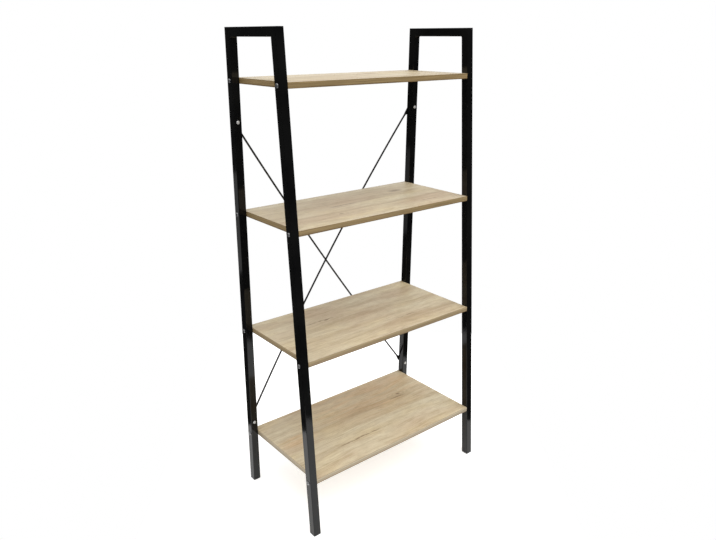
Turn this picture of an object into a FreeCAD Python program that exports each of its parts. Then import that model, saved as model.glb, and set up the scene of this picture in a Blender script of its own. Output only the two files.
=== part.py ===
import FreeCAD, Part
import math
import os

# A freestanding shelving unit: two side frames welded from square steel tube, with upright
# rear legs and front legs that lean back, four boards screwed between them, and a pair of
# crossed steel rods behind. Millimetres. +X is to the right, +Y to the back, +Z up.
# The origin is on the floor, in the middle of the unit.

# Side frames
height = 1470.0  # floor to the top of the frames
width = 720.0  # outer face of one frame to outer face of the other
floor_depth = 380.0  # front of a frame to its back at the floor
top_depth = 255.0  # front of a frame to its back along the top rail
tube = 25.0  # square tube, outside
tube_wall = 1.2
tube_corner = 2.0  # outside corner radius of the tube
bore_corner = 0.8  # flat across each corner of its bore
weld_leg = 3.5  # fillet weld inside each corner of a frame
weld_crown = 0.4  # how far the weld bulges

# Feet: ribbed plastic plugs in the ends of the tubes
foot_flange = 4.0  # plastic below the end of the tube
foot_chamfer = 0.8
foot_stem = 18.0  # length of the stem inside the tube
foot_stem_wall = 2.0
foot_stem_gap = 0.5  # between the stem and the tube
foot_rib = 1.6  # height of each rib that grips the tube
foot_rib_pitch = 6.0
foot_ribs = 2

# Shelves
shelf_names = ("bottom", "lower", "upper", "top")
board = 16.0  # thickness of the boards
lowest_shelf = 192.0  # floor to the top of the lowest board
top_shelf_drop = 132.0  # top of the frames down to the top of the highest board
band = 1.0  # thickness of the edge bands
band_arris = 0.4  # bevel along the outer edges of the bands

# Shelf screws, driven through the legs into sleeves in the ends of the boards
screw = 6.0
screw_length = 35.0
screw_head = 12.0
screw_head_height = 3.0
screw_hole_gap = 0.25  # between a screw and its hole in the tube, all round
thread_gap = 0.05  # between a screw and its thread, all round
sleeve = 9.0
sleeve_length = 13.0
sleeve_hole_spare = 2.0  # how much deeper than the sleeve its hole is drilled

# Back brace
rod = 6.0
brace_drop = 121.0  # top of the highest board down to the upper bolts
brace_rise = 38.0  # top of the lowest board up to the lower bolts
brace_bow = 25.0  # how far the inner rod springs back between its ends
rod_gap = 0.3  # between the rods where they cross
rod_standoff = 0.5  # between the legs and the round part of a rod
tab = 2.0  # thickness of the flattened ends
tab_width = 13.0
tab_reach = 24.0  # flat length from the bolt inwards
swage = 12.0  # length over which a rod turns from flat to round
bolt = 5.0
bolt_head = 10.0
bolt_head_height = 2.8
bolt_hole_gap = 0.2
bolt_tip = 3.0  # thread showing past the nut
washer = 10.0
washer_thickness = 1.0
nut_flats = 8.0
nut_thickness = 4.0

# Shapes shared by the fasteners and the rods
round_sides = 12  # flats that stand for each small round: a screw, a rod or the hole for one
nut_sides = 6
head_rim = 1.2  # straight edge of a domed head
head_crown = 0.5  # width of its flat middle, as a share of the head
cut_margin = 1.0  # how far a cutting tool runs past what it cuts

V = FreeCAD.Vector
RIGHT, BACK, UP = V(1, 0, 0), V(0, 1, 0), V(0, 0, 1)
SIDES = {"left": -1, "right": 1}
os.makedirs("parts", exist_ok=True)

# Places that follow from the sizes above
outer_bow = brace_bow + rod + rod_gap
back_overhang = rod_standoff + outer_bow + rod
front_face = -(floor_depth + back_overhang) / 2
rear_face = front_face + floor_depth
leg_height = height - foot_flange
rake = math.atan((floor_depth - top_depth) / leg_height)
leg_x = (width - tube) / 2
board_length = width - 2 * tube
top_shelf = height - top_shelf_drop
shelf_step = (top_shelf - lowest_shelf) / (len(shelf_names) - 1)
shelf_tops = {name: lowest_shelf + i * shelf_step for i, name in enumerate(shelf_names)}
brace_top = top_shelf - brace_drop
brace_bottom = lowest_shelf + brace_rise
overrun = 2 * tube  # spare tube at each end before it is cut to its mitre


def front_leg_face(z):
    """Y of the front leg's front face at height z."""
    return front_face + (z - foot_flange) * math.tan(rake)


def leg_y(place, z):
    """Y of the middle of a leg at height z."""
    if place == "front":
        return front_leg_face(z) + tube / 2 / math.cos(rake)
    return rear_face - tube / 2


def leg_tilt(place):
    """How far a leg leans back, in radians."""
    return rake if place == "front" else 0.0


def save(name, *solids):
    """Writes one node, a single solid or a group of separate ones."""
    shape = solids[0] if len(solids) == 1 else Part.Compound(list(solids))
    shape.exportStep(f"parts/{name}.step")


def stand(shape, point, direction):
    """Moves a shape built upwards from the origin to a point, facing a direction."""
    shape.Placement = FreeCAD.Placement(point, FreeCAD.Rotation(UP, direction))
    return shape


def lean(shape, point, tilt):
    """Moves a shape built upwards from the origin to a point, leaning back by tilt."""
    shape.Placement = FreeCAD.Placement(point, FreeCAD.Rotation(RIGHT, -math.degrees(tilt)))
    return shape


def corner_angles(sides):
    """Angles of a polygon's corners, with a flat facing each way; the first comes again at the end."""
    return [(2 * i + 1) * math.pi / sides for i in range(sides + 1)]


def outline(flats, sides, z=0.0):
    """Polygon about the upright axis at height z, sized across its flats."""
    radius = flats / 2 / math.cos(math.pi / sides)
    corners = [V(radius * math.cos(a), radius * math.sin(a), z) for a in corner_angles(sides)]
    return Part.makePolygon(corners)


def prism(flats, length, sides=round_sides):
    """Upright shaft on the origin, also used as the tool for a hole."""
    return Part.Face(outline(flats, sides)).extrude(UP * length)


def drill(shape, diameter, start, direction, depth):
    """Cuts a hole that starts a little before the surface."""
    return shape.cut(stand(prism(diameter, depth + cut_margin), start - direction * cut_margin, direction))


def cut_beyond(shape, point, normal):
    """Cuts off what lies past a plane."""
    return shape.cut(Part.makeCylinder(2 * overrun, 2 * overrun, point, normal))


# --- Side frames: two legs and a top rail, mitred and welded ---


def upright_edges(block, length):
    return [edge for edge in block.Edges if edge.BoundBox.ZLength > length / 2]


def square_bar(side, length):
    """Upright square bar on the origin."""
    return Part.makeBox(side, side, length, V(-side / 2, -side / 2, 0))


def bore_bar(side, length):
    """Square bar with its corners taken off, as they are in the bore of the tube."""
    bar = square_bar(side, length)
    return bar.makeChamfer(bore_corner, upright_edges(bar, length))


def square_tube(length):
    outside = square_bar(tube, length)
    outside = outside.makeFillet(tube_corner, upright_edges(outside, length))
    return outside.cut(bore_bar(tube - 2 * tube_wall, length))


def frame_corner(side, place):
    """Outer corner of a frame, with the ways along the leg and along the rail from there."""
    x = SIDES[side] * leg_x
    tilt = leg_tilt(place)
    down_leg = V(0, -math.sin(tilt), -math.cos(tilt))
    if place == "front":
        return V(x, front_leg_face(height), height), down_leg, BACK
    return V(x, rear_face, height), down_leg, -BACK


def make_leg(side, place):
    corner, down_leg, along_rail = frame_corner(side, place)
    foot = V(corner.x, leg_y(place, foot_flange), foot_flange)
    length = leg_height / math.cos(leg_tilt(place)) + 2 * overrun
    leg = lean(square_tube(length), foot + down_leg * overrun, leg_tilt(place))
    leg = cut_beyond(leg, foot, -UP)
    leg = cut_beyond(leg, corner, along_rail - down_leg)
    for top in shelf_tops.values():
        z = top - board / 2
        start = V(corner.x - tube / 2, leg_y(place, z), z)
        leg = drill(leg, screw + 2 * screw_hole_gap, start, RIGHT, tube + cut_margin)
    if place == "rear":
        for z in (brace_top, brace_bottom):
            start = V(corner.x, rear_face - tube, z)
            leg = drill(leg, bolt + 2 * bolt_hole_gap, start, BACK, tube + cut_margin)
    return leg


def make_rail(side):
    front, front_down, _ = frame_corner(side, "front")
    rear, rear_down, _ = frame_corner(side, "rear")
    start = V(front.x, front.y - overrun, height - tube / 2)
    rail = lean(square_tube(rear.y - front.y + 2 * overrun), start, math.pi / 2)
    rail = cut_beyond(rail, front, front_down - BACK)
    return cut_beyond(rail, rear, rear_down + BACK)


def make_weld(side, place):
    """Fillet weld in the inner corner where a leg meets the rail."""
    corner, down_leg, along_rail = frame_corner(side, place)
    diagonal = down_leg + along_rail
    root = corner - diagonal * (tube / diagonal.z)
    root.x = corner.x - tube / 2 + tube_corner
    toes = root + along_rail * weld_leg, root + down_leg * weld_leg
    crown = (toes[0] + toes[1]) / 2 + diagonal.normalize() * weld_crown
    bead = [
        Part.makeLine(root, toes[0]),
        Part.Arc(toes[0], crown, toes[1]).toShape(),
        Part.makeLine(toes[1], root),
    ]
    return Part.Face(Part.Wire(bead)).extrude(RIGHT * (tube - 2 * tube_corner))


def make_foot(side, place):
    """Plug with a flange under the tube and a hollow stem inside it, ribbed on its four flats."""
    tilt = leg_tilt(place)
    seat = V(SIDES[side] * leg_x, leg_y(place, foot_flange), foot_flange)
    depth = tube / math.cos(tilt)
    flange = Part.makeBox(tube, depth, foot_flange, V(seat.x - tube / 2, seat.y - depth / 2, 0))
    flange = flange.makeFillet(tube_corner, upright_edges(flange, foot_flange))
    sole = [e for e in flange.Edges if e.BoundBox.ZMax < foot_chamfer]
    flange = flange.makeChamfer(foot_chamfer, sole)

    bore = tube - 2 * tube_wall
    stem_side = bore - 2 * foot_stem_gap
    rib_length = bore - 2 * bore_corner
    stem = bore_bar(stem_side, foot_stem + overrun)
    for i in range(foot_ribs):
        z = overrun + foot_stem - foot_rib - i * foot_rib_pitch
        across = Part.makeBox(bore, rib_length, foot_rib, V(-bore / 2, -rib_length / 2, z))
        along = Part.makeBox(rib_length, bore, foot_rib, V(-rib_length / 2, -bore / 2, z))
        stem = stem.fuse([across, along])
    stem = stem.cut(square_bar(stem_side - 2 * foot_stem_wall, foot_stem + 2 * overrun))
    up_tube = V(0, math.sin(tilt), math.cos(tilt))
    stem = cut_beyond(lean(stem, seat - up_tube * overrun, tilt), seat, -UP)
    return flange.fuse(stem).removeSplitter()


for side in SIDES:
    for place in ("front", "rear"):
        save(f"{side}_{place}_leg", make_leg(side, place))
        save(f"{side}_{place}_foot", make_foot(side, place))
    save(f"{side}_top_rail", make_rail(side))
    save(f"{side}_frame_welds", make_weld(side, "front"), make_weld(side, "rear"))


# --- Shelves: a board with four edge bands, sleeves in its ends and the screws into them ---


def domed_screw(diameter, length, head, head_height):
    """Screw that runs down from the origin, with its domed head above."""
    shank = prism(diameter, length + head_rim)
    shank.translate(UP * -length)
    rim = outline(head, round_sides, head_rim)
    crown = outline(head * head_crown, round_sides, head_height)
    return shank.fuse([prism(head, head_rim), Part.makeLoft([rim, crown], True, True)]).removeSplitter()


def shelf_screw_places(name):
    """Where a shelf's screws meet the outer faces of the legs, each with its outward way."""
    z = shelf_tops[name] - board / 2
    for sign in SIDES.values():
        for place in ("front", "rear"):
            yield V(sign * width / 2, leg_y(place, z), z), RIGHT * sign


def edge_band(length):
    """Strip along X, facing -Y, with its outer edges bevelled."""
    x = -length / 2
    profile = [
        V(x, band, 0),
        V(x, band_arris, 0),
        V(x, 0, -band_arris),
        V(x, 0, band_arris - board),
        V(x, band_arris, -board),
        V(x, band, -board),
        V(x, band, 0),
    ]
    return Part.Face(Part.makePolygon(profile)).extrude(RIGHT * length)


def turned(shape, point, degrees):
    """Turns a shape about the upright axis and moves it to a point."""
    shape.Placement = FreeCAD.Placement(point, FreeCAD.Rotation(UP, degrees))
    return shape


for name, top in shelf_tops.items():
    front = front_leg_face(top)
    middle = (front + rear_face) / 2
    depth = rear_face - front
    core = Part.makeBox(
        board_length - 2 * band,
        depth - 2 * band,
        board,
        V(band - board_length / 2, front + band, top - board),
    )
    end_bands = [
        turned(edge_band(depth - 2 * band), V(sign * board_length / 2, middle, top), sign * 90)
        for sign in SIDES.values()
    ]
    sleeves = []
    screws = []
    for place, outward in shelf_screw_places(name):
        mouth = place - outward * tube
        core = drill(core, sleeve, mouth, -outward, sleeve_length + sleeve_hole_spare)
        end_bands = [drill(strip, sleeve, mouth, -outward, sleeve_length) for strip in end_bands]
        insert = stand(prism(sleeve, sleeve_length), mouth, -outward)
        sleeves.append(drill(insert, screw + 2 * thread_gap, mouth, -outward, sleeve_length + cut_margin))
        fastener = domed_screw(screw, screw_length, screw_head, screw_head_height)
        screws.append(stand(fastener, place, outward))
    save(f"{name}_shelf_board", core)
    save(f"{name}_shelf_front_band", turned(edge_band(board_length), V(0, front, top), 0))
    save(f"{name}_shelf_rear_band", turned(edge_band(board_length), V(0, rear_face, top), 180))
    save(f"{name}_shelf_end_bands", *end_bands)
    save(f"{name}_shelf_sleeves", *sleeves)
    save(f"{name}_shelf_screws", *screws)


# --- Back brace: two crossed rods with flattened, drilled ends, bolted to the rear legs ---


def flat_section(x):
    """Outline of a rod's flattened end across X, with the corners of the round rod pressed out."""
    stretch = tab_width / 2 / math.cos(math.pi / round_sides)
    corners = []
    for a in corner_angles(round_sides):
        y = tab if math.cos(a) > 0 else 0
        corners.append(V(x, y, stretch * math.sin(a)))
    return Part.makePolygon(corners)


def round_section(centre, slope):
    """Outline of the round rod, square to a way that climbs back by slope."""
    across = V(-math.sin(slope), math.cos(slope), 0)
    radius = rod / 2 / math.cos(math.pi / round_sides)
    corners = []
    for a in corner_angles(round_sides):
        corners.append(centre + (across * math.cos(a) + UP * math.sin(a)) * radius)
    return Part.makePolygon(corners)


def rod_end():
    """Flattened end of a rod, with its bolt hole at the origin."""
    nose = stand(prism(tab_width, tab), V(0, 0, 0), BACK)
    flat = Part.makeBox(tab_reach, tab, tab_width, V(0, 0, -tab_width / 2))
    return drill(nose.fuse(flat), bolt + 2 * bolt_hole_gap, V(0, 0, 0), BACK, tab + cut_margin)


def make_rod(start, end, bow):
    """Rod from bolt to bolt, springing back by bow in one large arc."""
    length = (end - start).Length
    first = tab_reach + swage
    chord = length / 2 - first
    radius = (chord ** 2 + bow ** 2) / 2 / bow
    slope = math.asin(chord / radius)
    axis_y = rod_standoff + rod / 2
    shaft_end = round_section(V(first, axis_y, 0), slope)
    centre = V(length / 2, axis_y + bow - radius, 0)
    shaft = Part.Face(shaft_end).revolve(centre, -UP, math.degrees(2 * slope))
    neck = Part.makeLoft([flat_section(tab_reach), shaft_end], True, True)
    half = rod_end().fuse(neck)
    other = half.mirror(V(length / 2, 0, 0), RIGHT)
    rod_shape = half.fuse([shaft, other]).removeSplitter()
    way = end - start
    turn = FreeCAD.Rotation(BACK, -math.degrees(math.atan2(way.z, way.x)))
    rod_shape.Placement = FreeCAD.Placement(start, turn)
    return rod_shape


def brace_corner(side, z):
    return V(SIDES[side] * leg_x, rear_face, z)


inner_rod = make_rod(brace_corner("left", brace_bottom), brace_corner("right", brace_top), brace_bow)
outer_rod = make_rod(brace_corner("left", brace_top), brace_corner("right", brace_bottom), outer_bow)
save("inner_brace_rod", inner_rod)
save("outer_brace_rod", outer_rod)

brace_bolts = []
brace_washers = []
brace_nuts = []
bolt_length = tube + tab + washer_thickness + nut_thickness + bolt_tip
for side in SIDES:
    for z in (brace_bottom, brace_top):
        corner = brace_corner(side, z)
        fastener = domed_screw(bolt, bolt_length, bolt_head, bolt_head_height)
        brace_bolts.append(stand(fastener, corner - BACK * tube, -BACK))
        seat = corner + BACK * tab
        ring = stand(prism(washer, washer_thickness), seat, BACK)
        ring = drill(ring, bolt + 2 * bolt_hole_gap, seat, BACK, washer_thickness + cut_margin)
        brace_washers.append(ring)
        seat = seat + BACK * washer_thickness
        nut = stand(prism(nut_flats, nut_thickness, nut_sides), seat, BACK)
        brace_nuts.append(drill(nut, bolt + 2 * thread_gap, seat, BACK, nut_thickness + cut_margin))
save("brace_bolts", *brace_bolts)
save("brace_washers", *brace_washers)
save("brace_nuts", *brace_nuts)
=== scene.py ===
import math

import bmesh
import bpy
from mathutils import Matrix, Vector


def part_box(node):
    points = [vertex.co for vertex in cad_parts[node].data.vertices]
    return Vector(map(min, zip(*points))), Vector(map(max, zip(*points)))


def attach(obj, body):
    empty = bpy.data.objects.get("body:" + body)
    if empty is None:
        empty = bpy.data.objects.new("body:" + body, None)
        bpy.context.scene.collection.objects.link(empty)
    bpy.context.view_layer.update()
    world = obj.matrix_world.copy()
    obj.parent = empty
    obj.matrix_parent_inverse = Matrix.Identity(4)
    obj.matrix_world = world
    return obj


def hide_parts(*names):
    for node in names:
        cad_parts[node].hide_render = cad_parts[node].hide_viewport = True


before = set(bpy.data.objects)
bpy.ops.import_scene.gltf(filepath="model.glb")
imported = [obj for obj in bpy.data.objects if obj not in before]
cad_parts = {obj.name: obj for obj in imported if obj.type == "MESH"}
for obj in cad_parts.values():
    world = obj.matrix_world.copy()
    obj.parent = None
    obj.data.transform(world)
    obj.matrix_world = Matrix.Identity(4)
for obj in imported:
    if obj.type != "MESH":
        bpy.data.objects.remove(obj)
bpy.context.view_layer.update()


# --- Studio ---
# A roll of white paper that runs under the unit away from the camera. A dark floor, a dark curtain
# in front and a low grey card behind, to the left, glow at a fixed level and are seen only in
# reflections: painted dark reflections and a painted soft pale reflection in the gloss. The
# overhead light is broad and soft, and the room beyond is white.
paper_left, paper_right, paper_near, paper_far = -0.70, 0.68, -1.1, 1.1
paper_white = 0.9
paper_glow = 0.5
dark_floor_reach = 7.0
dark_floor_drop = 0.004
# Glow of the dark cloth, seen only in reflections as painted dark reflections.
cloth_glow = 0.022
curtain_distance = 3.2
curtain_height = 3.6
curtain_start, curtain_end, curtain_bend = 95, 395, 15
# Where the grey card stands and how bright it glows, for a painted pale reflection.
card_left, card_right, card_back = -1.62, -1.22, 2.07
card_height = 0.65
card_glow = 0.47
room_light = 0.72
room_seen = 1.0
overhead_light = 1.6
overhead_spread = 60.0
overhead_tilt, overhead_roll = 20, 2
lens_place = (-1.3047, -1.5443, 1.4494)
lens_tilt, lens_turn = 69.21, -38.37
lens_length = 33.243
lens_film_width = 36
lens_shift = (0.0207, 0.0223)
white = (1, 1, 1, 1)


def add_node(tree, kind, feeds=None, **settings):
    """Adds a node; feeds gives each input, by name or number, a value or another node's output."""
    made = tree.nodes.new(kind)
    for name, value in settings.items():
        setattr(made, name, value)
    for name, value in (feeds or {}).items():
        if isinstance(value, bpy.types.NodeSocket):
            tree.links.new(value, made.inputs[name])
        else:
            made.inputs[name].default_value = value
    return made


def calculate(tree, operation, first, second):
    """Result of a sum on two numbers."""
    return add_node(tree, "ShaderNodeMath", {0: first, 1: second}, operation=operation).outputs[0]


def seen_directly(tree):
    """1 for what the camera sees, also in a shiny or clear surface, and 0 for what gives light."""
    rays = add_node(tree, "ShaderNodeLightPath").outputs
    seen = calculate(tree, "MAXIMUM", rays["Is Camera Ray"], rays["Is Glossy Ray"])
    return calculate(tree, "MAXIMUM", seen, rays["Is Transmission Ray"])


def blank_material(name):
    """An empty material and its output node."""
    material = bpy.data.materials.new(name)
    material.use_nodes = True
    material.node_tree.nodes.clear()
    return material, add_node(material.node_tree, "ShaderNodeOutputMaterial")


def reflection_glow(name, grey):
    """A glowing material of one even grey, whatever light falls on it, for painted reflections."""
    material, output = blank_material(name)
    shade = add_node(material.node_tree, "ShaderNodeEmission", {"Color": (grey, grey, grey, 1)})
    material.node_tree.links.new(shade.outputs[0], output.inputs["Surface"])
    return material


def put_mesh(name, corners, faces, material):
    """Makes an object at the origin from corners in metres and faces, and links it to the scene."""
    mesh = bpy.data.meshes.new(name)
    mesh.from_pydata(corners, [], faces)
    mesh.materials.append(material)
    piece = bpy.data.objects.new(name, mesh)
    bpy.context.scene.collection.objects.link(piece)
    return piece


paper, paper_output = blank_material("white paper")
tree = paper.node_tree
paper_colour = (paper_white, paper_white, paper_white, 1)
matt = add_node(tree, "ShaderNodeBsdfDiffuse", {"Color": paper_colour})
glow = calculate(tree, "MULTIPLY", seen_directly(tree), paper_glow)
backlit = add_node(tree, "ShaderNodeEmission", {"Strength": glow})
whole = add_node(tree, "ShaderNodeAddShader", {0: matt.outputs[0], 1: backlit.outputs[0]})
tree.links.new(whole.outputs[0], paper_output.inputs["Surface"])
across = Vector((math.cos(math.radians(lens_turn)), math.sin(math.radians(lens_turn)), 0))
away = Vector((-across.y, across.x, 0))
paper_corners = [
    across * paper_left + away * paper_near,
    across * paper_right + away * paper_near,
    across * paper_right + away * paper_far,
    across * paper_left + away * paper_far,
]
paper_sheet = put_mesh("paper_sheet", paper_corners, [(0, 1, 2, 3)], paper)

# A dark cloth that glows and is seen only in reflections: painted dark reflections on the gloss.
reflection_cloth = reflection_glow("dark studio cloth", cloth_glow)
floor_ways = ((-1, -1), (1, -1), (1, 1), (-1, 1))
reflection_floor = put_mesh(
    "reflection_floor",
    [(x * dark_floor_reach, y * dark_floor_reach, -dark_floor_drop) for x, y in floor_ways],
    [(0, 1, 2, 3)],
    reflection_cloth,
)
bends = [math.radians(a) for a in range(curtain_start, curtain_end + 1, curtain_bend)]
curtain_line = [(curtain_distance * math.cos(a), curtain_distance * math.sin(a)) for a in bends]
reflection_curtain = put_mesh(
    "reflection_curtain",
    [(x, y, z) for x, y in curtain_line for z in (0, curtain_height)],
    [(2 * i, 2 * i + 1, 2 * i + 3, 2 * i + 2) for i in range(len(bends) - 1)],
    reflection_cloth,
)
# A grey card that glows and is seen only in reflections: a painted soft pale reflection on the left
# faces of the legs.
reflection_card = put_mesh(
    "reflection_card",
    [(x, card_back, z) for x in (card_left, card_right) for z in (0, card_height)],
    [(0, 1, 3, 2)],
    reflection_glow("grey card", card_glow),
)
# The screens light nothing and cast no shadow: they only paint reflections.
for screen in (reflection_floor, reflection_curtain, reflection_card):
    screen.visible_camera = False
    screen.visible_diffuse = False
    screen.visible_shadow = False

world = bpy.data.worlds.new("white room")
bpy.context.scene.world = world
world.use_nodes = True
tree = world.node_tree
tree.nodes.clear()
soft = add_node(tree, "ShaderNodeBackground", {"Color": white, "Strength": room_light})
plain = add_node(tree, "ShaderNodeBackground", {"Color": white, "Strength": room_seen})
feeds = {0: seen_directly(tree), 1: soft.outputs[0], 2: plain.outputs[0]}
sky = add_node(tree, "ShaderNodeMixShader", feeds)
add_node(tree, "ShaderNodeOutputWorld", {"Surface": sky.outputs[0]})

softbox = bpy.data.lights.new("overhead softbox", "SUN")
softbox.energy = overhead_light
softbox.angle = math.radians(overhead_spread)
softbox_stand = bpy.data.objects.new("overhead softbox", softbox)
softbox_stand.rotation_euler = (math.radians(overhead_tilt), math.radians(overhead_roll), 0)
bpy.context.scene.collection.objects.link(softbox_stand)

lens = bpy.data.cameras.new("camera")
lens.lens = lens_length
lens.sensor_width = lens_film_width
lens.shift_x, lens.shift_y = lens_shift
camera = bpy.data.objects.new("camera", lens)
camera.location = lens_place
camera.rotation_euler = (math.radians(lens_tilt), 0, math.radians(lens_turn))
bpy.context.scene.collection.objects.link(camera)
bpy.context.scene.camera = camera
bpy.context.scene.view_settings.view_transform = "Standard"


# --- Side frames ---
# Two frames of 25 mm square steel tube, each of two legs and a top rail, mitred and MIG welded,
# then powder coated black in one piece. The coat is glossy with a fine orange peel.
coat_tones = ((0.35, (0.0035, 0.0035, 0.0037, 1)), (0.7, (0.007, 0.007, 0.0068, 1)))
coat_rough = (0.05, 0.10)
coat_clouds, coat_smears = 9.0, 30.0
peel_size = 850.0
peel_depth = 0.00002
even = (1, 1, 1)
usual_noise = (0.3, 0.7)
sides = ("left", "right")


def own_place(tree):
    """The object's own metres."""
    return add_node(tree, "ShaderNodeTexCoord").outputs["Object"]


def laid_noise(tree, place, stretch, detail=3.0, roughness=0.5, distortion=0.0, scale=1.0):
    """Noise over a place, with a stretch for each way. Returns its value."""
    laid = add_node(tree, "ShaderNodeMapping", {"Vector": place, "Scale": stretch}).outputs[0]
    feeds = {
        "Vector": laid,
        "Scale": scale,
        "Detail": detail,
        "Roughness": roughness,
        "Distortion": distortion,
    }
    return add_node(tree, "ShaderNodeTexNoise", feeds).outputs["Fac"]


def own_noise(tree, scale, stretch=even, detail=3.0, roughness=0.5):
    """Noise over the object's own metres."""
    return laid_noise(tree, own_place(tree), stretch, detail, roughness, scale=scale)


def ramp(tree, value, stops):
    """Colour ramp from a value. Each stop is a position and a colour."""
    made = add_node(tree, "ShaderNodeValToRGB", {"Fac": value})
    made.color_ramp.elements[0].position, made.color_ramp.elements[0].color = stops[0]
    made.color_ramp.elements[1].position, made.color_ramp.elements[1].color = stops[-1]
    for position, color in stops[1:-1]:
        made.color_ramp.elements.new(position).color = color
    return made.outputs["Color"]


def spread(tree, value, low, high, start=0.0, end=1.0):
    """Moves a value between start and end to between low and high."""
    feeds = {"Value": value, "From Min": start, "From Max": end, "To Min": low, "To Max": high}
    return add_node(tree, "ShaderNodeMapRange", feeds).outputs[0]


def toned(scale, tones, detail=3.0):
    """A colour that wavers over a surface. Each tone has the noise value that it sets in at."""
    return lambda tree: ramp(tree, own_noise(tree, scale, detail=detail), tones)


def wavering(low, high, scale, stretch=even, detail=3.0):
    """A value that wavers between low and high over a surface."""
    return lambda tree: spread(
        tree, own_noise(tree, scale, stretch, detail), low, high, *usual_noise
    )


def finish_material(name, feeds, relief, depth):
    """Material of one surface shader, with a noise for its relief and a depth for it in metres."""
    material, output = blank_material(name)
    tree = material.node_tree
    feeds = {socket: feed(tree) if callable(feed) else feed for socket, feed in feeds.items()}
    bump = {"Height": own_noise(tree, *relief), "Distance": depth, "Strength": 1.0}
    feeds["Normal"] = add_node(tree, "ShaderNodeBump", bump).outputs["Normal"]
    surface = add_node(tree, "ShaderNodeBsdfPrincipled", feeds)
    tree.links.new(surface.outputs[0], output.inputs["Surface"])
    return material


def dress(names, material):
    """Gives CAD nodes a material."""
    for name in names:
        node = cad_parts[name]
        if not node.material_slots:
            node.data.materials.append(material)
        for place in node.material_slots:
            place.material = material


powder_coat = finish_material(
    "black powder coat",
    {
        "Base Color": toned(coat_clouds, coat_tones, detail=4.0),
        "Roughness": wavering(*coat_rough, coat_smears),
        "IOR": 1.36,
    },
    relief=(peel_size, even, 1.0),
    depth=peel_depth,
)
tube_names = ("_front_leg", "_rear_leg", "_top_rail")
dress([side + tube for side in sides for tube in tube_names], powder_coat)


# --- Frame welds ---
# MIG fillets across the two inner corners of each frame, with the ripples that the torch leaves,
# coated with the tubes. The outer seams are ground flush.
weld_leg = 0.0035
weld_crown = 0.0005
weld_steps, weld_facets = 84, 8
weld_taper, weld_taper_parts = 0.4, 14
weld_crease = 40
ripple_pitch = 0.0014
ripple_share = 0.14
leg_setback, leg_rise = 0.125, 1.466
front_leg_lean = math.atan(leg_setback / leg_rise)


def weld_bead(first, last, corner, along_rail, along_leg):
    """Corners and faces of a rippled fillet from one x to another, in a corner given as (y, z)."""
    corners, faces = [], []
    # t * (1 - t) is a quarter at most, so four crowns give one in the middle.
    bulge = [(a + b) / math.sqrt(2) * 4 * weld_crown for a, b in zip(along_rail, along_leg)]
    for i in range(weld_steps + 1):
        share = i / weld_steps
        x = first + (last - first) * share
        ripple = 1 - ripple_share * (x / ripple_pitch % 1)
        end = 1 - weld_taper * max(0, 1 - min(share, 1 - share) * weld_taper_parts) ** 2
        leg = weld_leg * ripple * end
        corners.append((x, *corner))
        for j in range(weld_facets + 1):
            t = j / weld_facets
            out = [
                (a * (1 - t) + b * t) * leg + c * t * (1 - t)
                for a, b, c in zip(along_rail, along_leg, bulge)
            ]
            corners.append((x, corner[0] + out[0], corner[1] + out[1]))
    ring = weld_facets + 2
    for i in range(weld_steps):
        for j in range(ring):
            near, far = i * ring, (i + 1) * ring
            faces.append((near + j, near + (j + 1) % ring, far + (j + 1) % ring, far + j))
    faces.append(tuple(range(ring)))
    faces.append(tuple(range(weld_steps * ring, weld_steps * ring + ring)))
    return corners, faces


for side in sides:
    low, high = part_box(side + "_frame_welds")
    front_corner = (low.y + weld_leg * math.tan(front_leg_lean), high.z)
    down_front_leg = (-math.sin(front_leg_lean), -math.cos(front_leg_lean))
    corners, faces = weld_bead(low.x, high.x, front_corner, (1, 0), down_front_leg)
    rear_corners, rear_faces = weld_bead(low.x, high.x, (high.y, high.z), (-1, 0), (0, -1))
    faces += [tuple(k + len(corners) for k in face) for face in rear_faces]
    beads = put_mesh(side + "_weld_beads", corners + rear_corners, faces, powder_coat)
    cleaned = bmesh.new()
    cleaned.from_mesh(beads.data)
    bmesh.ops.recalc_face_normals(cleaned, faces=cleaned.faces)
    cleaned.to_mesh(beads.data)
    beads.data.shade_smooth()
    beads.data.set_sharp_from_angle(angle=math.radians(weld_crease))
    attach(beads, "root")
    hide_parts(side + "_frame_welds")


# --- Feet ---
# Four ribbed plugs of black polypropylene, injection moulded and pushed into the ends of the
# legs. Only the flange shows, with a fine spark-eroded texture.
plug_tones = ((0.35, (0.014, 0.014, 0.0145, 1)), (0.7, (0.024, 0.024, 0.024, 1)))
plug_rough = (0.42, 0.58)
plug_mottle, plug_wear, plug_grain = 60.0, 200.0, 1600.0
plug_grain_depth = 0.00005
foot_plastic = finish_material(
    "black moulded plastic",
    {
        "Base Color": toned(plug_mottle, plug_tones),
        "Roughness": wavering(*plug_rough, plug_wear),
        "IOR": 1.49,
    },
    relief=(plug_grain, even, 2.0),
    depth=plug_grain_depth,
)
foot_names = ("_front_foot", "_rear_foot")
dress([side + foot for side in sides for foot in foot_names], foot_plastic)


# --- Shelf boards ---
# Four boards of 16 mm chipboard faced with printed melamine: light, slightly greyed oak, its
# grain along the board, with pores pressed into the matt surface.
shelf_names = ("bottom", "lower", "upper", "top")
oak_pale = (0.729, 0.645, 0.469, 1)
oak_middle = (0.645, 0.543, 0.371, 1)
oak_dark = (0.502, 0.391, 0.242, 1)
oak_brown = (0.576, 0.426, 0.278, 1)
oak_straw = (0.729, 0.609, 0.376, 1)
oak_knot = (0.24, 0.15, 0.08, 1)
oak_russet = (1.01, 0.88, 0.76, 1)
# How the grain waves, and how it does round knots and along cracks: height and scale.
grain_wave = (0.05, (2.6, 6.0, 4.0))
knot_wave = (0.012, (30, 40, 9))
crack_wave = (0.014, (22, 30, 9))
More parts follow.
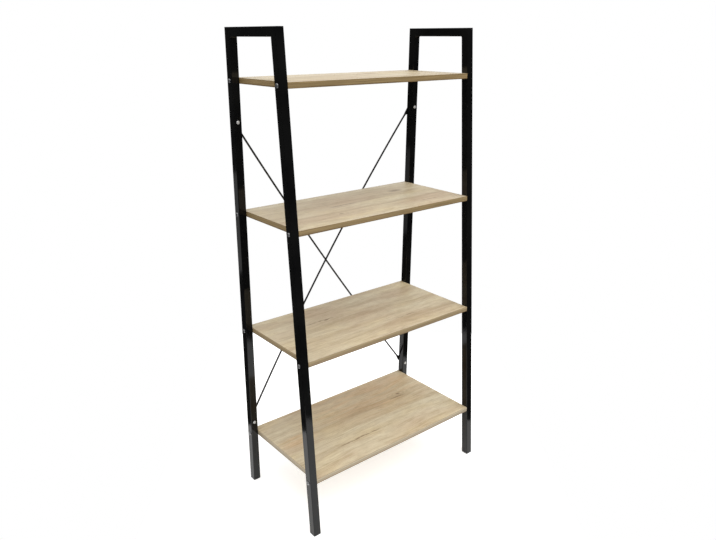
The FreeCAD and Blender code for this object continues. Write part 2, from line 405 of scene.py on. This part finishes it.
# Growth lines: their noise, and the noise value of each tone.
growth_noise = ((1.5, 24, 9), 3.5, 0.58, 0.3)
growth_tones = [(0.30, oak_dark), (0.46, oak_middle), (0.66, oak_pale)]
# Patches: colour, noise, largest share, and the noise values between which they grow.
oak_patches = (
    (oak_brown, ((3.4, 9, 6), 2.5, 0.5), 0.62, 0.50, 0.70),
    (oak_straw, ((4.5, 13, 11), 3.0, 0.55), 0.6, 0.48, 0.68),
)
# Streaks and pores: noise, share, the noise values between which they fade, and tint.
oak_streaks = (
    (((26, 60, 30), 3.0, 0.6), 1.0, 0.32, 0.56, (0.90, 0.88, 0.85, 1)),
    (((10, 260, 60), 4.0, 0.6), 0.8, 0.34, 0.52, (0.80, 0.75, 0.68, 1)),
    (((45, 1500, 300), 2.0, 0.5), 0.6, 0.34, 0.42, (0.66, 0.58, 0.48, 1)),
)
# Russet stretches: middle, half length, half width and strength.
oak_stretches = (
    (0.09, 0.080, 0.192, 0.34, 0.15, 0.75),
    (-0.265, 0.010, 0.192, 0.09, 0.035, 1.0),
    (0.28, 0.120, 0.192, 0.07, 0.05, 0.6),
    (0.17, -0.11, 0.956, 0.10, 0.03, 0.45),
)
stretch_streaks = (6, 70, 9)
stretch_streak_shares = (0.45, 1.3, 0.38, 0.62)
stretch_heart = 0.35
stretch_upright = 12.0
# Short cracks: middle and half length.
oak_cracks = (
    (-0.075, -0.100, 0.192, 0.130),
    (-0.205, 0.040, 0.192, 0.035),
    (0.190, 0.020, 0.192, 0.040),
    (-0.135, 0.054, 0.574, 0.070),
    (0.120, -0.080, 0.574, 0.050),
    (0.215, -0.075, 0.956, 0.045),
    (-0.060, 0.030, 0.956, 0.060),
    (0.050, 0.060, 1.338, 0.060),
)
crack_gaps = ((60, 160, 90), 2.0)
crack_gap_shares = (0.2, 0.95, 0.36, 0.50)
crack_heart = 0.5
crack_core, crack_edge = 0.0008, 0.0034
board_near, board_gone = 0.08, 0.09
# Knots: middle and reach.
oak_knots = (
    (-0.113, 0.052, 0.574, 0.040),
    (0.205, 0.035, 0.192, 0.034),
    (-0.13, -0.05, 0.956, 0.036),
)
knot_squash = (0.42, 1, 1)
knot_rings, knot_ring_start = 720.0, -0.4
knot_share = 0.85
knot_eye, knot_core, knot_rim = 0.0018, 0.003, 0.0042
pin_knots = (2.6, 5.6, 3.7)
pin_knot_share, pin_knot_core, pin_knot_edge = 0.8, 0.02, 0.10
board_rough, board_smears = (0.44, 0.54), (7, 210, 60)
board_pores = (60, 1500, 400)
board_pore_depth = 0.00005


def mixed(tree, share, first, second, blend="MIX"):
    """Mixes two colours by a share."""
    feeds = {"Factor": share, 6: first, 7: second}
    return add_node(tree, "ShaderNodeMix", feeds, data_type="RGBA", blend_type=blend).outputs[2]


def vector_sum(tree, operation, first, second=(0, 0, 0)):
    """Result of a sum on two vectors, which is a number for LENGTH."""
    done = add_node(tree, "ShaderNodeVectorMath", {0: first, 1: second}, operation=operation)
    return done.outputs["Value" if operation == "LENGTH" else "Vector"]


def grown(tree, wave_height, wave_scale):
    """The object's own metres, pushed sideways in slow waves as grain runs round knots."""
    place = own_place(tree)
    wave = calculate(tree, "SUBTRACT", own_noise(tree, 1.0, wave_scale, 2.0), 0.5)
    push = {"Y": calculate(tree, "MULTIPLY", wave, wave_height)}
    push = add_node(tree, "ShaderNodeCombineXYZ", push).outputs[0]
    return vector_sum(tree, "ADD", place, push)


def crack_share(tree, place, x, y, z, reach):
    """How much of a short printed crack along the grain is at a place, fading at its ends."""
    off = vector_sum(tree, "ABSOLUTE", vector_sum(tree, "SUBTRACT", place, (x, y, z)))
    off = add_node(tree, "ShaderNodeSeparateXYZ", {0: off}).outputs
    along = spread(tree, off["X"], 1.0, 0.0, crack_heart * reach, reach)
    across = spread(tree, off["Y"], 1.0, 0.0, crack_core, crack_edge)
    upright = spread(tree, off["Z"], 1.0, 0.0, board_near, board_gone)
    return calculate(tree, "MULTIPLY", calculate(tree, "MULTIPLY", along, across), upright)


def knot_shares(tree, place, x, y, z, reach):
    """How much of a knot's rings and of its core is at a place. Knots are long ovals."""
    off = vector_sum(tree, "SUBTRACT", place, (x, y, z))
    off = vector_sum(tree, "LENGTH", vector_sum(tree, "MULTIPLY", off, knot_squash))
    wave = calculate(tree, "SINE", calculate(tree, "MULTIPLY", off, knot_rings), 0.0)
    rings = spread(tree, wave, 0.0, 1.0, knot_ring_start, 1.0)
    fading = spread(tree, off, knot_share, 0.0, knot_core, reach)
    rings = calculate(tree, "MULTIPLY", rings, fading)
    return rings, spread(tree, off, knot_share, 0.0, knot_eye, knot_rim)


def stretch_share(tree, place, x, y, z, long, wide, most):
    """How much of a streaky russet stretch is at a place. It fades out from its middle."""
    off = vector_sum(tree, "SUBTRACT", place, (x, y, z))
    off = vector_sum(tree, "MULTIPLY", off, (1 / long, 1 / wide, stretch_upright))
    off = vector_sum(tree, "LENGTH", off)
    share = spread(tree, off, most, 0.0, stretch_heart, 1.0)
    streaks = spread(tree, laid_noise(tree, place, stretch_streaks), *stretch_streak_shares)
    return calculate(tree, "MULTIPLY", share, streaks)


def oak_print(tree):
    """Printed oak: growth lines, brown and straw patches, fine streaks, knots and cracks."""
    place = grown(tree, *grain_wave)
    colour = ramp(tree, laid_noise(tree, place, *growth_noise), growth_tones)
    for tone, noise, most, low, high in oak_patches:
        share = spread(tree, laid_noise(tree, place, *noise), 0.0, most, low, high)
        colour = mixed(tree, share, colour, tone)
    for spot in oak_stretches:
        share = stretch_share(tree, place, *spot)
        colour = mixed(tree, share, colour, oak_russet, "MULTIPLY")
    for noise, share, low, high, tint in oak_streaks:
        shade = ramp(tree, laid_noise(tree, place, *noise), [(low, tint), (high, white)])
        colour = mixed(tree, share, colour, shade, "MULTIPLY")
    for spot in oak_knots:
        rings, core = knot_shares(tree, grown(tree, *knot_wave), *spot)
        colour = mixed(tree, core, mixed(tree, rings, colour, oak_dark), oak_knot)
    broken = spread(tree, laid_noise(tree, place, *crack_gaps), *crack_gap_shares)
    wandering = grown(tree, *crack_wave)
    for spot in oak_cracks:
        share = calculate(tree, "MULTIPLY", crack_share(tree, wandering, *spot), broken)
        colour = mixed(tree, share, colour, oak_knot)
    laid = add_node(tree, "ShaderNodeMapping", {"Vector": place, "Scale": pin_knots}).outputs[0]
    feeds = {"Vector": laid, "Scale": 1.0, "Randomness": 1.0}
    off = add_node(tree, "ShaderNodeTexVoronoi", feeds).outputs["Distance"]
    share = spread(tree, off, pin_knot_share, 0.0, pin_knot_core, pin_knot_edge)
    return mixed(tree, share, colour, oak_knot)


oak_board = finish_material(
    "oak melamine",
    {
        "Base Color": oak_print,
        "Roughness": wavering(*board_rough, 1.0, board_smears, 4.0),
        "IOR": 1.5,
    },
    relief=(1.0, board_pores, 2.0),
    depth=board_pore_depth,
)
dress([name + "_shelf_board" for name in shelf_names], oak_board)


# --- Edge bands ---
# Printed ABS strips 1 mm thick, hot glued to the four cut edges of each board and trimmed with
# a small bevel. Their oak is browner than the faces. Painted shade darkens each band at its lower
# edge and top arris. On the two lower boards a painted highlight lightens the band below its upper
# edge, and the bands are painted paler towards the floor, most on the bottom board, for its light.
band_tones = ((0.35, (0.24, 0.16, 0.066, 1)), (0.65, (0.375, 0.26, 0.115, 1)))
# Painted light: a paler tone for light from the floor, shade at the edges, a highlight below the
# top.
band_floor_light_tone = (0.46, 0.40, 0.30, 1)
band_edge_shade = (0.66, 0.60, 0.54, 1)
band_top_highlight = (1.42, 1.46, 1.50, 1)
band_shading_heights = (0.10, 0.24, 0.62, 0.86, 0.975, 0.995)
# How much painted floor light and painted highlight each board's band gets.
band_floor_light_share = {"bottom": 0.6, "lower": 0.22, "upper": 0.05, "top": 0.0}
band_highlight_share = {"bottom": 1.0, "lower": 0.75, "upper": 0.0, "top": 0.0}
band_grains = {"front_band": (9, 90, 420), "rear_band": (9, 90, 420), "end_bands": (90, 9, 420)}
band_rough, band_smears = (0.42, 0.55), 120.0
band_relief, band_relief_depth = 3.0, 0.00004


def band_print_and_light(grain, low, high, fading, highlight_share):
    """Fine printed lines along a band, with painted shade at its lower edge and top arris, a
    painted highlight below its upper edge and a paler painted tone for light from the floor.
    """
    # upper is this board's painted highlight colour.
    upper = [1 + (channel - 1) * highlight_share for channel in band_top_highlight]
    stops = list(zip(band_shading_heights, (band_edge_shade, white, white, upper, upper, band_edge_shade)))

    def printed(tree):
        lines = ramp(tree, own_noise(tree, 1.0, grain, 5.0, 0.6), band_tones)
        # fading is the share of the painted paler tone for light from the floor.
        colour = mixed(tree, fading, lines, band_floor_light_tone)
        height = add_node(tree, "ShaderNodeSeparateXYZ", {0: own_place(tree)}).outputs["Z"]
        height = spread(tree, height, 0.0, 1.0, low, high)
        # Painted shade at the lower edge and top arris and a painted highlight below the upper
        # edge.
        return mixed(tree, 1.0, colour, ramp(tree, height, stops), "MULTIPLY")

    return printed


for name in shelf_names:
    for ending, grain in band_grains.items():
        node = name + "_shelf_" + ending
        low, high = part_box(node)
        strip = (grain, low.z, high.z, band_floor_light_share[name], band_highlight_share[name])
        oak_band = finish_material(
            "oak edge, " + node,
            {
                "Base Color": band_print_and_light(*strip),
                "Roughness": wavering(*band_rough, band_smears),
                "IOR": 1.5,
            },
            relief=(band_relief, grain, 2.0),
            depth=band_relief_depth,
        )
        dress([node], oak_band)


# --- Sleeves ---
# Sixteen threaded steel sleeves, dull zinc plated and pressed into holes in the ends of the
# boards for the shelf screws. The legs and boards hide them.
sleeve_tones = ((0.35, (0.30, 0.305, 0.32, 1)), (0.62, (0.42, 0.42, 0.42, 1)))
sleeve_metal = 0.8
zinc_rough = (0.36, 0.54)
zinc_spangle, zinc_wear, zinc_grain = 420.0, 900.0, 2600.0
zinc_grain_depth = 0.00002


def zinc_finish(name, tones, metal):
    """Zinc plate on steel, a little mottled."""
    return finish_material(
        name,
        {
            "Base Color": toned(zinc_spangle, tones),
            "Metallic": metal,
            "Roughness": wavering(*zinc_rough, zinc_wear),
        },
        relief=(zinc_grain, even, 2.0),
        depth=zinc_grain_depth,
    )


zinc_plate = zinc_finish("dull zinc plate", sleeve_tones, sleeve_metal)
dress([name + "_shelf_sleeves" for name in shelf_names], zinc_plate)


# --- Shelf screws ---
# Sixteen M6 x 35 button-head machine screws of zinc-plated steel, each turned with a hexagon
# key through both walls of a leg into a sleeve. Every key socket ends at its own angle.
screw_sizes = {
    "Head Width": 0.012,
    "Head Height": 0.003,
    "Rim Height": 0.0009,
    "Crown Width": 0.0062,
    "Key Flats": 0.004,
    "Key Depth": 0.0019,
    "Thread Width": 0.006,
    "Length": 0.035,
    "Pitch": 0.001,
}
round_steps, dome_steps, thread_steps = 36, 9, 14
ridge_corners, hexagon = 4, 6
ridge_share = 0.5
thread_share = 0.55
tip_share = 0.6
dome_shoulder = 0.93
corner_per_flat = 2 * math.cos(math.pi / 6)
spindle_radius = 1e-7
closing_distance = 0.000002
seam_distance = 1e-6
smooth_crease = 35.0


def keep_result(piece):
    """Replaces a piece's mesh by its modifiers' result, closed, facing outwards and smooth."""
    shown = piece.evaluated_get(bpy.context.evaluated_depsgraph_get())
    mesh = bpy.data.meshes.new_from_object(shown)
    piece.modifiers.clear()
    piece.data = mesh
    cleaned = bmesh.new()
    cleaned.from_mesh(mesh)
    bmesh.ops.remove_doubles(cleaned, verts=cleaned.verts, dist=seam_distance)
    bmesh.ops.recalc_face_normals(cleaned, faces=cleaned.faces)
    cleaned.to_mesh(mesh)
    mesh.shade_smooth()
    mesh.set_sharp_from_angle(angle=math.radians(smooth_crease))


def half(tree, value):
    """Half of a value, such as a radius from a width."""
    return calculate(tree, "DIVIDE", value, 2.0)


def profile_point(tree, out, up):
    """A point of a profile, so far out from the upright axis and so far up."""
    return add_node(tree, "ShaderNodeCombineXYZ", {"X": out, "Y": up}).outputs[0]


def circle(tree, corners, radius):
    """A circle, or a polygon, as a curve."""
    feeds = {"Resolution": corners, "Radius": radius}
    return add_node(tree, "GeometryNodeCurvePrimitiveCircle", feeds).outputs[0]


def join(tree, *parts):
    """Several parts as one."""
    joined = add_node(tree, "GeometryNodeJoinGeometry")
    for part in parts:
        tree.links.new(part, joined.inputs[0])
    return joined.outputs[0]


def closed(tree, shape):
    """A shape with the corners that meet made one."""
    feeds = {"Geometry": shape, "Distance": closing_distance}
    return add_node(tree, "GeometryNodeMergeByDistance", feeds).outputs[0]


def lift(tree, shape, height):
    """A shape moved up."""
    way = add_node(tree, "ShaderNodeCombineXYZ", {"Z": height}).outputs[0]
    feeds = {"Geometry": shape, "Translation": way}
    return add_node(tree, "GeometryNodeTransform", feeds).outputs[0]


def turn_curve(tree, profile):
    """Turns a curve round the upright axis, as on a lathe."""
    spindle = circle(tree, round_steps, spindle_radius)
    feeds = {"Curve": spindle, "Profile Curve": profile}
    skin = add_node(tree, "GeometryNodeCurveToMesh", feeds).outputs[0]
    feeds = {"Geometry": skin, "Rotation": (math.pi, 0, 0)}
    return add_node(tree, "GeometryNodeTransform", feeds).outputs[0]


def turn_profile(tree, *corners):
    """Turns a broken line, of corners given as out and up, round the upright axis."""
    points = [profile_point(tree, *corner) for corner in corners]
    lines = [
        add_node(tree, "GeometryNodeCurvePrimitiveLine", {"Start": near, "End": far}).outputs[0]
        for near, far in zip(points, points[1:])
    ]
    return turn_curve(tree, join(tree, *lines))


def fastener_tree(name, sizes):
    """An empty Geometry Nodes tree with an input for each size, and its input sockets."""
    tree = bpy.data.node_groups.new(name, "GeometryNodeTree")
    kinds = [("Places", "Geometry")] + [(size, "Float") for size in sizes]
    for label, kind in kinds + [("Seed", "Int"), ("Material", "Material")]:
        tree.interface.new_socket(label, in_out="INPUT", socket_type="NodeSocket" + kind)
    tree.interface.new_socket("Geometry", in_out="OUTPUT", socket_type="NodeSocketGeometry")
    return tree, add_node(tree, "NodeGroupInput").outputs


def set_at_places(tree, given, shape):
    """Sets a copy of a shape at each place, facing outwards and turned by chance about itself."""
    feeds = {"Name": "facing"}
    facing = add_node(tree, "GeometryNodeInputNamedAttribute", feeds, data_type="FLOAT_VECTOR")
    feeds = {"Vector": facing.outputs[0]}
    aligned = add_node(tree, "FunctionNodeAlignRotationToVector", feeds, axis="Z")
    feeds = {2: 0.0, 3: 2 * math.pi, "Seed": given["Seed"]}
    chance = add_node(tree, "FunctionNodeRandomValue", feeds)
    feeds = {"Axis": (0, 0, 1), "Angle": chance.outputs[1]}
    spin = add_node(tree, "FunctionNodeAxisAngleToRotation", feeds)
    feeds = {"Rotation": aligned.outputs[0], "Rotate By": spin.outputs[0]}
    turned = add_node(tree, "FunctionNodeRotateRotation", feeds, rotation_space="LOCAL")
    feeds = {
        "Points": given["Places"],
        "Instance": closed(tree, shape),
        "Rotation": turned.outputs[0],
    }
    copies = add_node(tree, "GeometryNodeInstanceOnPoints", feeds)
    real = add_node(tree, "GeometryNodeRealizeInstances", {"Geometry": copies.outputs[0]})
    feeds = {"Geometry": real.outputs[0], "Material": given["Material"]}
    dressed = add_node(tree, "GeometryNodeSetMaterial", feeds)
    add_node(tree, "NodeGroupOutput", {0: dressed.outputs[0]})


def make_from_tree(name, tree, places, facing, sizes, seed, material):
    """Runs a tree on a set of places and keeps the result as a plain mesh."""
    mesh = bpy.data.meshes.new(name)
    mesh.from_pydata(places, [], [])
    ways = mesh.attributes.new("facing", "FLOAT_VECTOR", "POINT")
    for way, value in zip(ways.data, facing):
        way.vector = value
    piece = bpy.data.objects.new(name, mesh)
    bpy.context.scene.collection.objects.link(piece)
    made = piece.modifiers.new(tree.name, "NODES")
    made.node_group = tree
    values = dict(sizes, Seed=seed, Material=material)
    for socket in tree.interface.items_tree:
        if socket.in_out == "INPUT" and socket.name in values:
            made[socket.identifier] = values[socket.name]
    keep_result(piece)
    piece.data.materials.pop(index=0)
    return piece


screw_tree, given = fastener_tree("button-head screw", screw_sizes)
t = screw_tree
head_edge = half(t, given["Head Width"])
crown_edge = half(t, given["Crown Width"])
thread_edge = half(t, given["Thread Width"])
thread_cut = calculate(t, "MULTIPLY", given["Pitch"], thread_share)
core_edge = calculate(t, "SUBTRACT", thread_edge, thread_cut)
key_corner = calculate(t, "DIVIDE", given["Key Flats"], corner_per_flat)
tip = calculate(t, "MULTIPLY", given["Length"], -1.0)
tip_shoulder = calculate(t, "ADD", tip, given["Pitch"])
tip_cut = calculate(t, "MULTIPLY", given["Pitch"], tip_share)
tip_edge = calculate(t, "SUBTRACT", core_edge, tip_cut)
shaft = turn_profile(
    t,
    (0.0, tip),
    (tip_edge, tip),
    (core_edge, tip_shoulder),
    (core_edge, 0.0),
    (head_edge, 0.0),
    (head_edge, given["Rim Height"]),
)
shoulder = calculate(t, "MULTIPLY", head_edge, dome_shoulder)
feeds = {
    "Resolution": dome_steps,
    "Start": profile_point(t, head_edge, given["Rim Height"]),
    "Middle": profile_point(t, shoulder, given["Head Height"]),
    "End": profile_point(t, crown_edge, given["Head Height"]),
}
dome_curve = add_node(t, "GeometryNodeCurveQuadraticBezier", feeds).outputs[0]
crown_lines = join(t, circle(t, round_steps, crown_edge), circle(t, hexagon, key_corner))
crown = add_node(t, "GeometryNodeFillCurve", {"Curve": crown_lines}).outputs[0]
key_middle = calculate(t, "SUBTRACT", given["Head Height"], half(t, given["Key Depth"]))
feeds = {"Vertices": hexagon, "Radius": key_corner, "Depth": given["Key Depth"]}
key_wall = add_node(t, "GeometryNodeMeshCylinder", feeds, fill_type="NONE").outputs[0]
feeds = {"Vertices": hexagon, "Radius": key_corner}
key_floor = add_node(t, "GeometryNodeMeshCircle", feeds, fill_type="NGON").outputs[0]
key_foot = calculate(t, "SUBTRACT", given["Head Height"], given["Key Depth"])
plain_length = calculate(t, "MULTIPLY", given["Pitch"], 2.0)
thread_length = calculate(t, "SUBTRACT", given["Length"], plain_length)
feeds = {
    "Resolution": thread_steps,
    "Rotations": calculate(t, "DIVIDE", thread_length, given["Pitch"]),
    "Start Radius": core_edge,
    "End Radius": core_edge,
    "Height": thread_length,
}
spiral = add_node(t, "GeometryNodeCurveSpiral", feeds).outputs[0]
ridge = circle(t, ridge_corners, calculate(t, "MULTIPLY", given["Pitch"], ridge_share))
feeds = {"Curve": spiral, "Profile Curve": ridge, "Fill Caps": True}
thread = add_node(t, "GeometryNodeCurveToMesh", feeds).outputs[0]
whole_screw = join(
    t,
    shaft,
    turn_curve(t, dome_curve),
    lift(t, crown, given["Head Height"]),
    lift(t, key_wall, key_middle),
    lift(t, key_floor, key_foot),
    lift(t, thread, tip_shoulder),
)
set_at_places(t, given, whole_screw)


def screw_places(node):
    """Where a shelf's screws meet the outer faces of the legs, and the way each one faces."""
    corners = [v.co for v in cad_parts[node].data.vertices]
    low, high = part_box(node)
    middle = (low.y + high.y) / 2
    places, facing = [], []
    for side in (-1, 1):
        for front in (True, False):
            near = [c for c in corners if c.x * side > 0 and (c.y < middle) == front]
            y = (min(c.y for c in near) + max(c.y for c in near)) / 2
            places.append((side * (high.x - screw_sizes["Head Height"]), y, (low.z + high.z) / 2))
            facing.append((side, 0, 0))
    return places, facing


for number, name in enumerate(shelf_names):
    node = name + "_shelf_screws"
    places, facing = screw_places(node)
    screws = make_from_tree(
        name + "_key_screws", screw_tree, places, facing, screw_sizes, number, zinc_plate
    )
    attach(screws, "root")
    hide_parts(node)


# --- Brace rods ---
# Two 6 mm round steel rods that cross behind the shelves. Their ends are pressed flat and
# drilled, they spring back over each other in one long curve, and they are painted satin black.
rod = 0.006
tab_thickness, tab_width, tab_reach = 0.002, 0.013, 0.024
tab_start, tab_end_steps, tab_steps = 6, 9, 6
tab_face_flatness, tab_edge_flatness = 0.45, 0.7
swage_length = 0.012
swage_steps = 10
rod_standoff = 0.0005
rod_gap = 0.0003
inner_bow = 0.025
outer_bow = inner_bow + rod + rod_gap
bolt_hole = 0.0054
bolt_inset = 0.005
drill_sides, drill_length = 32, 0.02
ring_points = 28
arc_steps = 72
rod_tones = ((0.4, (0.011, 0.011, 0.0115, 1)), (0.72, (0.022, 0.0215, 0.021, 1)))
rod_rough = (0.3, 0.44)
rod_wear, rod_smears, rod_grain = 35.0, 140.0, 700.0
rod_grain_depth = 0.00004
rod_paint = finish_material(
    "satin black rod paint",
    {
        "Base Color": toned(rod_wear, rod_tones, detail=5.0),
        "Roughness": wavering(*rod_rough, rod_smears),
        "IOR": 1.5,
    },
    relief=(rod_grain, even, 2.0),
    depth=rod_grain_depth,
)


def eased(share):
    """A share from 0 to 1 that starts and stops gently."""
    return share * share * (3 - 2 * share)


def rod_stations(length, bow):
    """Places along a rod: way along, middle, slope, share of round, and width of the flat end."""
    first = tab_reach + swage_length
    chord = length / 2 - first
    radius = (chord**2 + bow**2) / 2 / bow
    slope = math.asin(chord / radius)
    axis = rod_standoff + rod / 2
    half_tab = tab_width / 2
    ends = []
    for i in range(tab_end_steps + 1):
        turn = math.radians(tab_start + (90 - tab_start) * i / tab_end_steps)
        ends.append((-half_tab * math.cos(turn), axis, 0, 0, half_tab * math.sin(turn)))
    for i in range(1, tab_steps + 1):
        ends.append((tab_reach * i / tab_steps, axis, 0, 0, half_tab))
    for i in range(1, swage_steps):
        share = i / swage_steps
        along = tab_reach + swage_length * share
        ends.append((along, axis, slope * share * share, eased(share), half_tab))
    middle = []
    for i in range(arc_steps + 1):
        turn = slope * (1 - 2 * i / arc_steps)
        back = axis + bow - radius + radius * math.cos(turn)
        middle.append((length / 2 - radius * math.sin(turn), back, turn, 1, half_tab))
    far_ends = [(length - s, y, -turn, share, wide) for s, y, turn, share, wide in reversed(ends)]
    return ends + middle + far_ends


def rod_ring(station):
    """Corners of a rod's section: along, back and across."""
    along, back, slope, share, half_wide = station
    ring = []
    for i in range(ring_points):
        turn = 2 * math.pi * i / ring_points
        c, s = math.cos(turn), math.sin(turn)
        flat_back = tab_thickness / 2 * (1 + math.copysign(abs(c) ** tab_face_flatness, c))
        flat_across = half_wide * math.copysign(abs(s) ** tab_edge_flatness, s)
        out = flat_back * (1 - share) + (back + rod / 2 * c * math.cos(slope)) * share
        across = flat_across * (1 - share) + rod / 2 * s * share
        ring.append((along - rod / 2 * c * math.sin(slope) * share, out, across))
    return ring


def make_brace_rod(name, start, end, bow):
    """Rod from bolt to bolt, with a hole through each flat end."""
    way = (end - start).normalized()
    across = Vector((-way.z, 0, way.x))
    built = bmesh.new()
    rings = [
        [
            built.verts.new(start + way * a + Vector((0, b, 0)) + across * c)
            for a, b, c in rod_ring(station)
        ]
        for station in rod_stations((end - start).length, bow)
    ]
    for near, far in zip(rings, rings[1:]):
        for i in range(ring_points):
            j = (i + 1) % ring_points
            built.faces.new((near[i], near[j], far[j], far[i]))
    built.faces.new(rings[0])
    built.faces.new(rings[-1])
    bmesh.ops.recalc_face_normals(built, faces=built.faces)
    mesh = bpy.data.meshes.new(name)
    built.to_mesh(mesh)
    drills = bmesh.new()
    for place in (start, end):
        bmesh.ops.create_cone(
            drills,
            cap_ends=True,
            segments=drill_sides,
            radius1=bolt_hole / 2,
            radius2=bolt_hole / 2,
            depth=drill_length,
            matrix=Matrix.Translation(place) @ Matrix.Rotation(math.pi / 2, 4, "X"),
        )
    drill_mesh = bpy.data.meshes.new("drills")
    drills.to_mesh(drill_mesh)
    piece = bpy.data.objects.new(name, mesh)
    drill_bits = bpy.data.objects.new("drills", drill_mesh)
    for made in (piece, drill_bits):
        bpy.context.scene.collection.objects.link(made)
    holes = piece.modifiers.new("bolt holes", "BOOLEAN")
    holes.operation, holes.object, holes.solver = "DIFFERENCE", drill_bits, "EXACT"
    keep_result(piece)
    bpy.data.objects.remove(drill_bits)
    return piece


low_bolt, high_bolt = (corner.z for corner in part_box("brace_washers"))
low_bolt, high_bolt = low_bolt + bolt_inset, high_bolt - bolt_inset
rear_legs = {side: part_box(side + "_rear_leg") for side in sides}


def bolt_place(side, z):
    """Where a bolt comes out of the rear face of a leg."""
    low, high = rear_legs[side]
    return Vector(((low.x + high.x) / 2, high.y, z))


for name, left, right, bow in (
    ("inner_rod", low_bolt, high_bolt, inner_bow),
    ("outer_rod", high_bolt, low_bolt, outer_bow),
):
    brace_rod = make_brace_rod(name, bolt_place("left", left), bolt_place("right", right), bow)
    brace_rod.data.materials.append(rod_paint)
    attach(brace_rod, "root")
    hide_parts(name.replace("rod", "brace_rod"))


# --- Brace bolts, washers and nuts ---
# Four M5 x 35 button-head bolts pass through the rear legs and the flat rod ends, heads to the
# front, and are held by a plain washer and a chamfered nut behind. All are zinc plated, their zinc
# painted paler than the shelf screws' for the light that the domed heads catch.
bolt_sizes = {
    "Head Width": 0.010,
    "Head Height": 0.0028,
    "Rim Height": 0.0008,
    "Crown Width": 0.0052,
    "Key Flats": 0.003,
    "Key Depth": 0.0016,
    "Thread Width": 0.005,
    "Length": 0.035,
    "Pitch": 0.0008,
}
washer_sizes = {
    "Outside Width": 0.010,
    "Hole Width": 0.0054,
    "Thickness": 0.001,
    "Edge Bevel": 0.00015,
}
nut_sizes = {"Flats": 0.008, "Thickness": 0.004, "Hole Width": 0.0051, "Countersink": 0.0004}
nut_face_share = 0.475
nut_corner_room = 1.04
nut_chamfer = 30
turning_seed = 7
# Zinc painted paler than the shelf screws', for the light that the bolt heads catch.
bolt_paler_tones = ((0.35, (0.70, 0.71, 0.72, 1)), (0.62, (0.86, 0.86, 0.85, 1)))
bolt_metal = 0.45
zinc_painted_paler = zinc_finish("bright zinc plate", bolt_paler_tones, bolt_metal)

washer_tree, given = fastener_tree("plain washer", washer_sizes)
t = washer_tree
rim = half(t, given["Outside Width"])
bore = half(t, given["Hole Width"])
bevelled = calculate(t, "SUBTRACT", rim, given["Edge Bevel"])
bevel_foot = calculate(t, "SUBTRACT", given["Thickness"], given["Edge Bevel"])
ring = turn_profile(
    t,
    (bore, 0.0),
    (rim, 0.0),
    (rim, bevel_foot),
    (bevelled, given["Thickness"]),
    (bore, given["Thickness"]),
    (bore, 0.0),
)
set_at_places(t, given, ring)

nut_tree, given = fastener_tree("hexagon nut", nut_sizes)
t = nut_tree
corner_edge = calculate(t, "DIVIDE", given["Flats"], corner_per_flat)
feeds = {"Vertices": hexagon, "Radius": corner_edge, "Depth": given["Thickness"]}
blank = add_node(t, "GeometryNodeMeshCylinder", feeds, fill_type="NGON").outputs[0]
face_edge = calculate(t, "MULTIPLY", given["Flats"], nut_face_share)
turned_edge = calculate(t, "MULTIPLY", corner_edge, nut_corner_room)
slant_width = calculate(t, "SUBTRACT", turned_edge, face_edge)
slant = calculate(t, "MULTIPLY", slant_width, math.tan(math.radians(nut_chamfer)))
slant_top = calculate(t, "SUBTRACT", given["Thickness"], slant)
chamfer = turn_profile(
    t,
    (0.0, 0.0),
    (face_edge, 0.0),
    (turned_edge, slant),
    (turned_edge, slant_top),
    (face_edge, given["Thickness"]),
    (0.0, given["Thickness"]),
)
body = add_node(t, "GeometryNodeMeshBoolean", operation="INTERSECT", solver="EXACT")
t.links.new(lift(t, blank, half(t, given["Thickness"])), body.inputs["Mesh 2"])
t.links.new(closed(t, chamfer), body.inputs["Mesh 2"])
hole = half(t, given["Hole Width"])
mouth = calculate(t, "ADD", hole, calculate(t, "MULTIPLY", given["Countersink"], 2.0))
below = calculate(t, "MULTIPLY", given["Countersink"], -1.0)
above = calculate(t, "ADD", given["Thickness"], given["Countersink"])
hole_top = calculate(t, "SUBTRACT", given["Thickness"], given["Countersink"])
reamer = turn_profile(
    t,
    (0.0, below),
    (mouth, below),
    (hole, given["Countersink"]),
    (hole, hole_top),
    (mouth, above),
    (0.0, above),
)
feeds = {"Mesh 1": body.outputs[0], "Mesh 2": closed(t, reamer)}
nut = add_node(t, "GeometryNodeMeshBoolean", feeds, operation="DIFFERENCE", solver="EXACT")
set_at_places(t, given, nut.outputs[0])

bolts_at = [bolt_place(side, z) for side in sides for z in (low_bolt, high_bolt)]
leg_front = rear_legs["left"][0].y
for name, tree, sizes, stand_off, facing in (
    ("brace_bolts", screw_tree, bolt_sizes, leg_front - bolts_at[0].y, -1),
    ("brace_washers", washer_tree, washer_sizes, tab_thickness, 1),
    ("brace_nuts", nut_tree, nut_sizes, tab_thickness + washer_sizes["Thickness"], 1),
):
    places = [place + Vector((0, stand_off, 0)) for place in bolts_at]
    ways = [(0, facing, 0)] * len(places)
    fasteners = make_from_tree(
        "zinc_" + name, tree, places, ways, sizes, turning_seed, zinc_painted_paler
    )
    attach(fasteners, "root")
    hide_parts(name)
